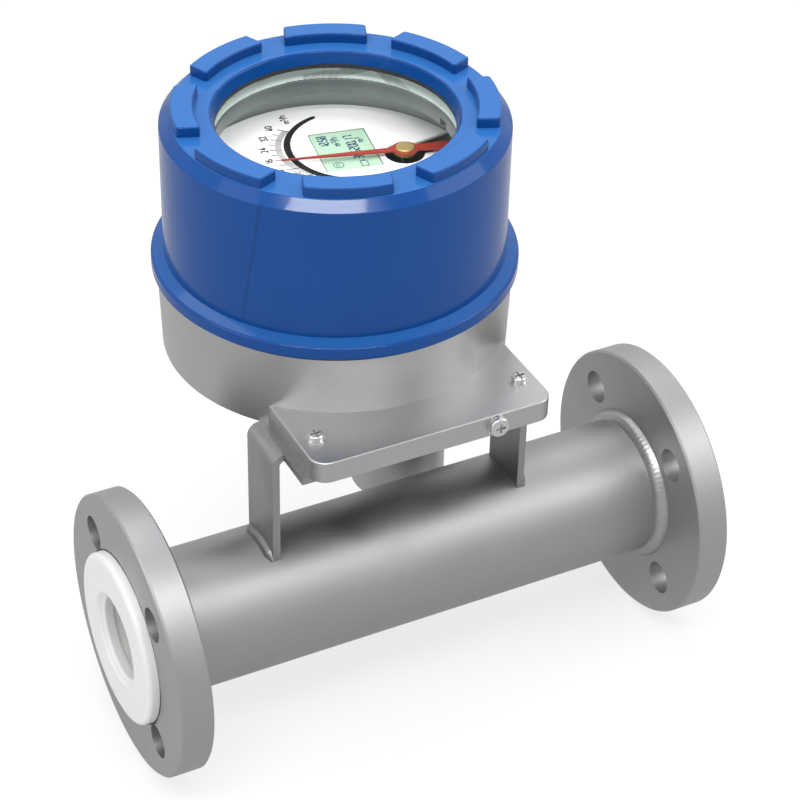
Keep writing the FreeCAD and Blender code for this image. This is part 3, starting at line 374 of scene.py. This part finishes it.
def casting():
    """Satin cast base, with the painted shadow line under the cover and its thread on the neck."""
    color = neutral(0.49)
    mat, tree, shader = material("casting", color, 0.38, 1.0)
    fine = noise(tree, place(tree, (220, 220, 1400)), 1.0, 4.0, 0.6)
    cloud = noise(tree, place(tree), 26.0)
    feed(tree, shader, "Roughness", remap(tree, cloud, 0.32, 0.44))
    spot = xyz(tree, place(tree, shift=HEAD_AT))
    height = spot["Z"]
    # Faces that look down are painted in shade
    skin = blend_color(tree, facing_down(tree), grained(tree, fine, color, 0.97), UNDERSIDE_SHADE)
    # A painted shadow line on the base, just below the closed cover's lower edge
    gap = times(tree, above(tree, height, SHADOW_LINE_LOW), below(tree, height, SHADOW_LINE_HIGH))
    feed(tree, shader, "Base Color", blend_color(tree, gap, skin, neutral(0.01)))
    turn = math_node(tree, "ARCTAN2", spot["Y"], spot["X"])
    climb = times(tree, height, 2 * math.pi / THREAD_PITCH)
    wave = math_node(tree, "SINE", minus(tree, climb, turn))
    neck = times(tree, above(tree, height, THREAD_LOW), below(tree, height, THREAD_HIGH),
                 above(tree, ring_radius(tree, "z", HEAD_AT), THREAD_RADIUS))
    relief = plus(tree, times(tree, fine, 0.02), times(tree, wave, neck, 2.0))
    bump(tree, shader, relief, 0.9, 0.0004)
    return mat


def dial_paint():
    """White dial paint, a little self-lit towards its shaded far edge."""
    white = neutral(0.70)
    mat, tree, shader = material("dial", white, 0.42)
    cloud = noise(tree, place(tree), 40.0)
    paint = blend_color(tree, remap(tree, cloud, 0.0, 1.0), white, neutral(0.685))
    feed(tree, shader, "Base Color", paint)
    feed(tree, shader, "Emission Color", paint)
    spot = xyz(tree, place(tree, shift=HEAD_AT))
    toward = minus(tree, times(tree, spot["Y"], 0.87), times(tree, spot["X"], 0.50))
    edge = times(tree, remap(tree, ring_radius(tree, "z", HEAD_AT), 0.0, 0.44, 0.030, 0.056),
                 remap(tree, toward, 0.0, 1.0, -0.005, 0.025))
    feed(tree, shader, "Emission Strength", edge)
    fine = noise(tree, place(tree), 1500.0, 2.0)
    feed(tree, shader, "Roughness", remap(tree, fine, 0.38, 0.47))
    bump(tree, shader, fine, 0.04, 0.0001)
    return mat


mats = {
    "steel": steel("steel", neutral(0.40), 0.48, (2600, 60, 60), 0.025, vary=0.97),
    "strip": steel("strip", neutral(0.36), 0.42, (300, 300, 40), 0.2, shade_below=True),
    "flange": flange_steel(),
    "weld": steel("weld", (0.44, 0.44, 0.43), 0.38, (500, 500, 500), 0.3),
    "foot_weld": steel("foot_weld", neutral(0.24), 0.40, (500, 500, 500), 0.5),
    "casting": casting(),
    "bright": steel("bright", neutral(0.66), 0.20, (900, 900, 900), 0.15),
    "lining": turned("lining", (0.68, 0.68, 0.67), 0.42, metal=0.0, strength=0.15, pitch=1500.0),
    "float": plastic("float", (0.74, 0.74, 0.72), 0.40),
    "enamel": blue_enamel(),
    "window": window(),
    "rubber": plastic("rubber", neutral(0.018), 0.55),
    "black": plastic("black", neutral(0.022), 0.45),
    "nickel": steel("nickel", (0.55, 0.53, 0.48), 0.26, (700, 700, 700), 0.15),
    "brass": turned("brass", (0.56, 0.44, 0.18), 0.50, "z", PIVOT_AT, 0.75),
    "bearing": turned("bearing", (0.50, 0.36, 0.18), 0.30, "z", PIVOT_AT),
    "red": plastic("red", (0.27, 0.022, 0.012), 0.42, 1200.0, 0.05),
    "dial": dial_paint(),
    "board": plastic("board", (0.015, 0.14, 0.05), 0.35),
    "display": plastic("display", (0.34, 0.50, 0.38), 0.25, 2000.0, 0.02, 0.97),
    "magnet": steel("magnet", (0.16, 0.16, 0.17), 0.45, (400, 400, 400), 0.3),
    "grey": turned("grey", (0.24, 0.26, 0.26), 0.36, "z", HEAD_AT, 0.8),
    "ring": ring_metal(),
    "print": plastic("print", neutral(0.012), 0.5),
    "band": plastic("band", neutral(0.36), 0.5),
    "line": plastic("line", neutral(0.02), 0.5),
    "segment": plastic("segment", (0.008, 0.030, 0.090), 0.4),
}

# Ink has hardly any gloss of its own
for key in ("print", "line", "segment"):
    mats[key].node_tree.nodes["Principled BSDF"].inputs["IOR"].default_value = 1.15

# The CAD nodes of each material
dress = {
    "steel": ["measuring_tube"],
    "strip": ["bracket"],
    "flange": ["outlet_flange", "inlet_flange"],
    "weld": ["outlet_flange_weld", "inlet_flange_weld",
             "bracket_weld_outlet", "bracket_weld_inlet"],
    "casting": ["housing_base"],
    "bright": ["lug_screws", "lug_washers", "lug_nuts", "earth_screw", "earth_washer",
               "deck_posts", "dial_posts", "board_posts", "float_stem", "arbor"],
    "lining": ["lining", "outlet_guide", "inlet_guide"],
    "float": ["float_body", "float_cap"],
    "enamel": ["cover"],
    "window": ["window_glass"],
    "rubber": ["cover_seal", "window_gasket", "gland_seal"],
    "black": ["terminal_block"],
    "nickel": ["gland_body", "gland_nut"],
    "brass": ["pointer_hub"],
    "bearing": ["lower_bearing", "upper_bearing"],
    "red": ["pointer"],
    "dial": ["dial"],
    "board": ["circuit_board"],
    "display": ["display_module"],
    "magnet": ["float_magnet", "follower_magnet"],
    "grey": ["movement_deck", "magnet_carrier"],
    "ring": ["retaining_ring"],
}

for key, names in dress.items():
    for name in names:
        obj = nodes[name]
        obj.data.materials.clear()
        obj.data.materials.append(mats[key])


def piece(name, bm, key, body, sharp=35.0):
    """A new mesh piece that rides on a body, smooth but for edges sharper than so many degrees."""
    mesh = bpy.data.meshes.new(name)
    bm.normal_update()
    bm.to_mesh(mesh)
    bm.free()
    obj = bpy.data.objects.new(name, mesh)
    bpy.context.scene.collection.objects.link(obj)
    mesh.materials.append(mats[key])
    for poly in mesh.polygons:
        poly.use_smooth = True
    mesh.set_sharp_from_angle(angle=math.radians(sharp))
    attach(obj, body)
    return obj


def bridge(bm, loops, closed):
    """Faces between closed loops of points, the last joined to the first or both ends capped."""
    count = len(loops)
    for i in range(count if closed else count - 1):
        a, b = loops[i], loops[(i + 1) % count]
        for j in range(len(a)):
            k = (j + 1) % len(a)
            bm.faces.new((a[j], a[k], b[k], b[j]))
    if not closed:
        bm.faces.new(loops[0][::-1])
        bm.faces.new(loops[-1])


def strip(bm, points, width, low, high, closed=False):
    """A flat ribbon with mitred corners along points in the plane, of one width or one a point."""
    count = len(points)
    points = [Vector(p) for p in points]
    widths = list(width) if isinstance(width, (list, tuple)) else [width] * count
    loops = []
    for i, point in enumerate(points):
        before = points[i - 1] if closed or i > 0 else None
        after = points[(i + 1) % count] if closed or i < count - 1 else None
        ahead = (after - point).normalized() if after is not None else (point - before).normalized()
        behind = (point - before).normalized() if before is not None else ahead
        mid = (ahead + behind).normalized()
        side = Vector((-mid.y, mid.x))
        # A mitre reaches twice half the width at most
        reach = widths[i] / 2 / max(0.5, side.dot(Vector((-ahead.y, ahead.x))))
        a, b = point + side * reach, point - side * reach
        corners = ((a, high), (b, high), (b, low), (a, low))
        loops.append([bm.verts.new((q.x, q.y, z)) for q, z in corners])
    bridge(bm, loops, closed)


def arc_points(centre, radius, start, end, steps):
    """Points on an arc, from one angle to another in degrees."""
    turns = [math.radians(start + (end - start) * i / steps) for i in range(steps + 1)]
    return [Vector((centre[0] + radius * math.cos(t), centre[1] + radius * math.sin(t)))
            for t in turns]


# Strokes of the printed figures, one high
GLYPHS = {
    "0": [[(.28, 1), (.48, .88), (.56, .5), (.48, .12), (.28, 0), (.08, .12), (0, .5), (.08, .88),
           (.24, .99)]],
    "1": [[(.12, .80), (.32, 1), (.32, 0)]],
    "2": [[(.02, .78), (.12, .95), (.30, 1), (.48, .93), (.54, .74), (.44, .50), (.02, .02),
           (.58, .02)]],
    "3": [[(.02, .90), (.22, 1), (.44, .96), (.53, .78), (.45, .60), (.26, .54)],
          [(.26, .54), (.48, .46), (.56, .26), (.46, .06), (.24, 0), (.02, .10)]],
    "4": [[(.42, 0), (.42, 1), (.02, .30), (.60, .30)]],
    "6": [[(.50, .92), (.30, 1), (.10, .86), (.01, .50), (.06, .16), (.28, 0), (.50, .12),
           (.56, .34), (.46, .54), (.26, .60), (.06, .48)]],
    "8": [[(.28, .54), (.08, .66), (.07, .88), (.28, 1), (.49, .88), (.48, .66), (.28, .54)],
          [(.28, .54), (.04, .40), (.03, .12), (.28, 0), (.53, .12), (.52, .40), (.28, .54)]],
    "m": [[(0, 0), (0, .66)], [(0, .48), (.16, .64), (.30, .58), (.33, .40), (.33, 0)],
          [(.33, .48), (.48, .64), (.62, .58), (.66, .40), (.66, 0)]],
    "h": [[(0, 0), (0, 1)], [(0, .46), (.18, .64), (.38, .60), (.45, .42), (.45, 0)]],
    "/": [[(0, -.08), (.34, 1.05)]],
}
# Advance of a glyph, where it isn't WIDE_USUAL
WIDE = {"m": .86, "/": .50, "1": .62}
WIDE_USUAL = .80
# The bars of each figure of the display, and the ends of each bar
BARS = {
    "0": "abcdef", "1": "bc", "2": "abdeg", "3": "abcdg",
    "5": "acdfg", "6": "acdefg", "7": "abc", "8": "abcdefg",
}
BAR_PLACES = {
    "a": ((0, 1), (1, 1)), "b": ((1, 1), (1, .5)), "c": ((1, .5), (1, 0)), "d": ((0, 0), (1, 0)),
    "e": ((0, .5), (0, 0)), "f": ((0, 1), (0, .5)), "g": ((0, .5), (1, .5)),
}
# A raised figure, such as the power in a unit: its size and lift against the height of the rest
RAISED_SIZE, RAISED_LIFT = 0.62, 0.42
INK_SUNK = 0.02 * MM


def lettering(bm, words, start, along, tall, pen, low, high, raised=""):
    """Plain stroke figures, read along a direction with their tops to its left."""
    along = Vector(along).normalized()
    up = Vector((-along.y, along.x))
    spot = Vector(start)
    for index, sign in enumerate(words):
        size, lift = tall, 0.0
        if str(index) in raised:
            size, lift = tall * RAISED_SIZE, tall * RAISED_LIFT
        for stroke in GLYPHS[sign]:
            line = [spot + along * (x * size) + up * (y * size + lift) for x, y in stroke]
            strip(bm, line, pen, low, high)
        spot = spot + along * (WIDE.get(sign, WIDE_USUAL) * size)


def bars(bm, words, start, along, tall, pitch, pen, low, high):
    """Seven-bar figures of a liquid crystal display, each bar pointed at both ends."""
    along = Vector(along).normalized()
    up = Vector((-along.y, along.x))
    spot = Vector(start)
    wide = pitch * 0.66
    for sign in words:
        if sign == ".":
            dot = spot - along * (pitch * 0.12) + up * (pen * 0.5)
            half = along * (pen * 0.6)
            strip(bm, [dot - half, dot + half], pen * 1.2, low, high)
            spot = spot + along * (pitch * 0.22)
            continue
        for bar in BARS[sign]:
            first, last = [spot + along * (x * wide) + up * (y * tall) for x, y in BAR_PLACES[bar]]
            step = (last - first).normalized()
            tip, shoulder = step * (pen * 0.10), step * (pen * 0.55)
            line = [first + tip, first + shoulder, last - shoulder, last - tip]
            strip(bm, line, [pen * 0.3, pen, pen, pen * 0.3], low, high)
        spot = spot + along * pitch


def print_on_dial():
    """Scale, numbers, unit and arc printed on the dial, laid out as the pointer reads it."""
    foot = PIVOT.xy
    head = HEAD.xy
    scale_mid = head + Vector((11.5, 22.7)) * MM
    number_mid = head + Vector((15.3, 22.7)) * MM
    arc_mid = head + Vector((18.2, 20.9)) * MM
    read = Vector((0.10, 0.995))
    low = DIAL_TOP - INK_SUNK
    top = DIAL_TOP + 0.08 * MM

    def meet(flow, centre, radius):
        """Where the pointer's line at a flow meets a circle."""
        angle = math.radians(READING_ANGLE + (READING - flow) * DEGREES_A_UNIT)
        way = Vector((math.cos(angle), math.sin(angle)))
        gap = foot - centre
        half = gap.dot(way)
        return foot + way * (-half + math.sqrt(half * half - gap.dot(gap) + radius * radius))

    def seen_from(point, centre):
        turn = math.degrees(math.atan2(point.y - centre.y, point.x - centre.x))
        return turn if turn > 0 else turn + 360

    # Grey band under the marks
    band = bmesh.new()
    radius = 23.4 * MM
    ends = [seen_from(meet(flow, scale_mid, radius), scale_mid) for flow in (FULL_SCALE, 0)]
    line = arc_points(scale_mid, radius, ends[0], ends[1], 60)
    strip(band, line, 2.6 * MM, low, DIAL_TOP + 0.05 * MM)
    piece("dial_band", band, "band", "meter")

    # Long marks every 4 units and short ones up to 8. Every 8 units one crosses the band,
    # by a thinner line from 16 to 32.
    marks = bmesh.new()

    def mark(flow, inner, outer, width):
        line = [meet(flow, scale_mid, inner * MM), meet(flow, scale_mid, outer * MM)]
        strip(marks, line, width * MM, low, top)

    for flow in range(0, FULL_SCALE + 1):
        if flow % 4 == 0:
            mark(flow, 22.2 if flow in (0, 8, FULL_SCALE) else 24.8, 27.0, 0.40)
        elif flow < 8:
            mark(flow, 25.2, 26.3, 0.30)
    for flow in (16, 24, 32):
        mark(flow, 22.3, 24.6, 0.16)
    piece("dial_marks", marks, "line", "meter")

    numbers = bmesh.new()
    tall = 2.7 * MM
    side = Vector((-read.y, read.x))
    for flow in range(0, FULL_SCALE + 1, 8):
        words = str(flow)
        spot = meet(flow, number_mid, 33.0 * MM)
        begin = spot - read * (tall * 0.39 * len(words)) - side * (tall * 0.5)
        lettering(numbers, words, begin, read, tall, 0.52 * MM, low, top)
    unit_at = head + Vector((1.9, 46.9)) * MM
    lettering(numbers, "m3/h", unit_at, read, 2.8 * MM, 0.42 * MM, low, top, raised="1")
    piece("dial_numbers", numbers, "print", "meter")

    # Black arc that widens from its first end and tapers off at both
    sweep = bmesh.new()
    steps = 72
    widths = [(1.9 + 0.9 * min(1.0, i / 30)) * MM for i in range(steps + 1)]
    for i, share in enumerate((0.72, 0.94)):
        widths[i] *= share
        widths[-1 - i] *= share
    line = arc_points(arc_mid, 26.7 * MM, 101.0, 236.0, steps)
    strip(sweep, line, widths, low, DIAL_TOP + 0.10 * MM)
    piece("dial_arc", sweep, "print", "meter")


def print_on_display():
    """The reading, a total and their units on the liquid crystal display, and a painted shadow line
    round it.
    """
    box_low, box_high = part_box("display_module")
    centre = Vector(((box_low[0] + box_high[0]) / 2, (box_low[1] + box_high[1]) / 2))
    turn = math.radians(-10)
    right = Vector((math.cos(turn), math.sin(turn)))
    along = Vector((-math.sin(turn), math.cos(turn)))
    low = SCREEN_TOP - INK_SUNK
    top = SCREEN_TOP + 0.05 * MM
    pen, thin = 0.62 * MM, 0.42 * MM

    def at(x, y):
        return centre + right * (x * MM) + along * (y * MM)

    figures = bmesh.new()
    bars(figures, f"{READING:.2f}", at(-5.2, 4.0), along, 3.5 * MM, 2.15 * MM, pen, low, top)
    bars(figures, "386200.17", at(5.6, -7.2), along, 3.7 * MM, 2.25 * MM, pen, low, top)
    lettering(figures, "m3/h", at(-0.8, 3.9), along, 2.9 * MM, thin, low, top, raised="1")
    lettering(figures, "m3", at(8.9, 4.9), along, 2.7 * MM, thin, low, top, raised="1")
    # A round sign with an open ring in it
    sign_at = at(-5.6, -10.4)
    strip(figures, arc_points(sign_at, 2.0 * MM, 0, 352, 36)[:-1], 0.30 * MM, low, top, True)
    strip(figures, arc_points(sign_at, 0.9 * MM, 40, 320, 16), 0.30 * MM, low, top)
    # A battery sign and its cap
    battery = [at(3.4, -13.4), at(6.0, -13.4), at(6.0, -9.4), at(3.4, -9.4)]
    strip(figures, battery, 0.30 * MM, low, top, True)
    strip(figures, [at(4.0, -9.0), at(5.4, -9.0)], 0.35 * MM, low, top)
    piece("display_figures", figures, "segment", "meter")

    # A dark line round the display: painted shadow of the dial's cutout edge
    edge_shadow = bmesh.new()
    rim = [at(-11.45, -14.55), at(11.45, -14.55), at(11.45, 14.55), at(-11.45, 14.55)]
    strip(edge_shadow, rim, 0.22 * MM, low, top, True)
    piece("display_edge_shadow", edge_shadow, "line", "meter")


def bead(name, stands_for, out, start, end, pitch, key):
    """A rippled fillet weld in place of a plain one, between the tube and a face across it.

    It runs over an arc about the pipe axis, in degrees, and out is the way along X from the
    face that it lies against.
    """
    box_low, box_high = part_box(stands_for)
    corner = box_low[0] if out > 0 else box_high[0]
    leg = box_high[0] - box_low[0]
    tuck, root = 0.03 * leg, 0.06 * leg          # how far the edges and the back sink in
    crown, ripple, waver = 0.16, 0.022, 0.025    # of the leg
    a_ripple = 3                                 # steps to each ripple
    across = 8
    closed = end - start >= 360
    steps = int(math.radians(end - start) * TUBE_RADIUS / pitch) * a_ripple
    bm = bmesh.new()
    loops = []
    for i in range(steps if closed else steps + 1):
        share = i / steps
        turn = math.radians(start + (end - start) * share)
        # An open bead thins towards its ends
        fade = 1.0 if closed else min(1.0, 4.5 * min(share, 1 - share) + 0.35)
        # Even ripples on a slow waver round the pipe
        beat = math.sin(2 * math.pi * i / a_ripple) * ripple + math.sin(turn * 7.3) * waver
        section = []
        for j in range(across + 1):
            t = j / across
            swell = math.sin(math.pi * t)
            run = leg * fade * ((1 - t) + crown * swell + beat * swell)
            rise = leg * fade * (t + crown * swell + beat * swell)
            if j == 0:
                rise -= tuck
            if j == across:
                run -= tuck
            section.append((corner + out * run, TUBE_RADIUS + rise))
        section.append((corner - out * tuck, TUBE_RADIUS - root))
        loops.append([bm.verts.new((x, radius * math.sin(turn), radius * math.cos(turn)))
                      for x, radius in section])
    bridge(bm, loops, closed)
    bmesh.ops.recalc_face_normals(bm, faces=bm.faces)
    obj = piece(name, bm, key, "meter", 60.0)
    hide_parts(stands_for)


def weld_beads():
    """Beads all round at both flanges, and over the tube at both legs of the bracket."""
    bead("outlet_flange_bead", "outlet_flange_weld", 1, 0, 360, 0.0018, "weld")
    bead("inlet_flange_bead", "inlet_flange_weld", -1, 0, 360, 0.0018, "weld")
    side = math.degrees(math.asin(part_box("bracket")[1][1] / TUBE_RADIUS))
    bead("bracket_bead_outlet", "bracket_weld_outlet", -1, -side, side, 0.0016, "foot_weld")
    bead("bracket_bead_inlet", "bracket_weld_inlet", 1, -side, side, 0.0016, "foot_weld")


def camera():
    """A camera fitted to the photograph: its lens, axes and place."""
    data = bpy.data.cameras.new("camera")
    data.lens = 110.85
    data.sensor_width = 36.0
    data.sensor_fit = "HORIZONTAL"
    data.clip_start = 0.01
    data.clip_end = 20.0
    data.shift_x = 0.0037
    data.shift_y = 0.0007
    obj = bpy.data.objects.new("camera", data)
    bpy.context.scene.collection.objects.link(obj)
    right = Vector((0.893542, -0.44855, 0.019658))
    up = Vector((0.252902, 0.53901, 0.803436))
    back = Vector((-0.370977, -0.712932, 0.595067))
    place_at = Vector((SEAL_X - 0.23431, -0.68341, 0.6483))
    axes = Matrix((right, up, back)).transposed().to_4x4()
    obj.matrix_world = Matrix.Translation(place_at) @ axes
    bpy.context.scene.camera = obj


def floor():
    """A pale floor at the object's lowest point. The camera sees it white, shadow kept."""
    bm = bmesh.new()
    bmesh.ops.create_grid(bm, x_segments=1, y_segments=1, size=6.0)
    mesh = bpy.data.meshes.new("floor")
    bm.to_mesh(mesh)
    bm.free()
    obj = bpy.data.objects.new("floor", mesh)
    obj.location = (0.12, 0.0, cad_box[0][2])
    bpy.context.scene.collection.objects.link(obj)
    mat, tree, shader = material("floor", neutral(0.80), 0.9)
    path = node(tree, "ShaderNodeLightPath")
    camera_ray, glossy_ray = path.outputs["Is Camera Ray"], path.outputs["Is Glossy Ray"]
    power = plus(tree, times(tree, camera_ray, 0.45), 0.55)
    glow = node(tree, "ShaderNodeEmission", {"Color": (1, 1, 1, 1), "Strength": power})
    seen = plus(tree, times(tree, camera_ray, 0.74), times(tree, glossy_ray, 0.80), clamp=True)
    mix = node(tree, "ShaderNodeMixShader", {0: seen, 1: shader.outputs[0], 2: glow.outputs[0]})
    tree.links.new(mix.outputs[0], tree.nodes["Material Output"].inputs["Surface"])
    mesh.materials.append(mat)


def lamp(name, place_at, aim, size, power, size_y=None):
    """An area lamp of so many watts: a rectangle, or a disc where only one size is given."""
    data = bpy.data.lights.new(name, "AREA")
    data.shape = "RECTANGLE" if size_y else "DISK"
    data.size = size
    if size_y:
        data.size_y = size_y
    data.energy = power
    obj = bpy.data.objects.new(name, data)
    bpy.context.scene.collection.objects.link(obj)
    away = Vector(place_at) - Vector(aim)
    facing = away.to_track_quat("Z", "Y").to_matrix().to_4x4()
    obj.matrix_world = Matrix.Translation(Vector(place_at)) @ facing
    return obj


def lamps():
    """Soft studio lamps round the object, and one inside it for the dial."""
    body_mid = (0.12, 0.03, 0.06)
    upper_mid = (0.12, 0.05, 0.10)
    lamp("key", (-0.20, -0.55, 1.15), body_mid, 1.10, 9.5, 0.10)
    lamp("fill", (1.05, -0.45, 0.70), body_mid, 0.80, 4.5, 0.80)
    lamp("side", (-0.95, 0.05, 0.70), body_mid, 0.70, 2.6, 0.90)
    over = lamp("over", (0.12, 0.05, 1.40), upper_mid, 0.80, 5.5, 0.60)
    over.visible_glossy = False
    lamp("top", (0.20, 0.60, 1.10), upper_mid, 0.90, 3.5, 0.60)
    # The dial sits deep, so a small disc just under the glass evens it out
    under_glass = (HEAD.x, HEAD.y, GLASS_TOP - 0.0072)
    inner = lamp("dial_light", under_glass, (HEAD.x, HEAD.y, 0.10), 0.088, 0.021)
    inner.visible_camera = False
    inner.visible_glossy = False


def studio():
    """A world that is white to the camera and through glass, and lights more from the sides."""
    world = bpy.data.worlds.new("studio")
    bpy.context.scene.world = world
    world.use_nodes = True
    tree = world.node_tree
    path = node(tree, "ShaderNodeLightPath").outputs
    seen = larger(tree, path["Is Camera Ray"], path["Is Transmission Ray"])
    seen = larger(tree, seen, times(tree, path["Is Glossy Ray"], 0.45))
    way = xyz(tree, node(tree, "ShaderNodeTexCoord").outputs["Generated"])
    level = times(tree, larger(tree, way["Z"], 0.0), 0.30)
    level = plus(tree, level, times(tree, larger(tree, way["Y"], 0.0), 0.30))
    level = plus(tree, level, times(tree, without_sign(tree, way["X"]), 0.55))
    level = plus(tree, level, 0.20)
    strength = plus(tree, times(tree, seen, minus(tree, 1.0, level)), level)
    ground = tree.nodes["Background"]
    ground.inputs["Color"].default_value = (1, 1, 1, 1)
    feed(tree, ground, "Strength", strength)


print_on_dial()
print_on_display()
weld_beads()
camera()
floor()
lamps()
studio()
bpy.context.scene.view_settings.view_transform = "Standard"
